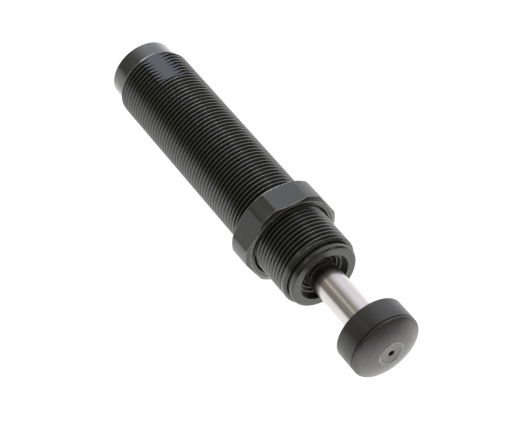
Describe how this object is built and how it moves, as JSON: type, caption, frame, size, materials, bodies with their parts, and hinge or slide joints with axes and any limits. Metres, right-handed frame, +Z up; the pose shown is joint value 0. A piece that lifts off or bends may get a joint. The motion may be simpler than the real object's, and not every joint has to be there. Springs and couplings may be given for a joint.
{
  "type": "industrial shock absorber",
  "caption": "Threaded hydraulic shock absorber with a jam nut, a spring-returned piston rod and a plain plastic bumper cap.",
  "frame": {"origin": "on the axis of the body's thread, in the plane of the jam nut's rear face, where a mounting plate sits", "axes": "+X along the axis, out of the body towards the bumper cap; +Z up, square to one flat of the jam nut and to the milled flat"},
  "size_m": [0.1404, 0.0318, 0.03],
  "materials": {
    "black_oxide_steel": "black oxide on machined steel, satin, lightly oiled",
    "nut_steel": "black oxide on machined steel, satin",
    "plug_steel": "black oxide, satin",
    "gland_steel": "phosphated, matt",
    "ring_steel": "phosphated spring steel",
    "rod_steel": "ground and polished",
    "hardened_steel": "ground",
    "zinc_steel": "bright zinc",
    "spring_steel": "drawn wire",
    "ball_steel": "polished bearing steel",
    "bronze": "turned bearing bronze",
    "copper": "annealed copper",
    "ptfe_bronze": "bronze-filled PTFE",
    "ptfe": "plain PTFE",
    "polyurethane": "satin polyurethane",
    "seal_rubber": "matt nitrile rubber",
    "wiper_rubber": "matt nitrile rubber",
    "foam": "closed-cell foam",
    "cap_plastic": "moulded glass-filled nylon, matt"
  },
  "bodies": {
    "housing": {"outer_body": "black_oxide_steel", "fill_plug": "plug_steel", "fill_plug_seal": "copper", "pressure_tube": "hardened_steel", "tube_base": "hardened_steel", "tube_base_seal": "seal_rubber", "accumulator_cage": "zinc_steel", "accumulator_foam": "foam", "front_gland": "gland_steel", "gland_o_ring": "seal_rubber", "rod_bearing": "bronze", "rod_seal": "polyurethane", "seal_support": "ptfe", "wiper_ring": "wiper_rubber", "retaining_ring": "ring_steel", "return_spring": "spring_steel"},
    "lock_nut": {"jam_nut": "nut_steel"},
    "spring_carrier": {"spring_seat": "zinc_steel"},
    "rod_assembly": {"piston_rod": "rod_steel", "piston": "hardened_steel", "piston_ring": "ptfe_bronze", "ball_retainer": "zinc_steel", "cap_insert": "zinc_steel", "bumper_cap": "cap_plastic"},
    "check_valve": {"check_ball": "ball_steel"}
  },
  "joints": [
    {"name": "rod_stroke", "type": "slide", "parent": "housing", "child": "spring_carrier", "axis": [-1, 0, 0], "range_m": [0, 0.0228], "stiffness_N_per_m": 1030, "springref_m": -0.011, "deforming": ["return_spring"]},
    {"name": "rod_spin", "type": "hinge", "parent": "spring_carrier", "child": "rod_assembly", "pos_m": [0, 0, 0], "axis": [1, 0, 0], "continuous": true},
    {"name": "check_lift", "type": "slide", "parent": "rod_assembly", "child": "check_valve", "axis": [-1, 0, 0], "range_m": [0, 0.0005]},
    {"name": "nut_travel", "type": "slide", "parent": "housing", "child": "lock_nut", "axis": [1, 0, 0], "range_m": [-0.071, 0.0144]}
  ]
}
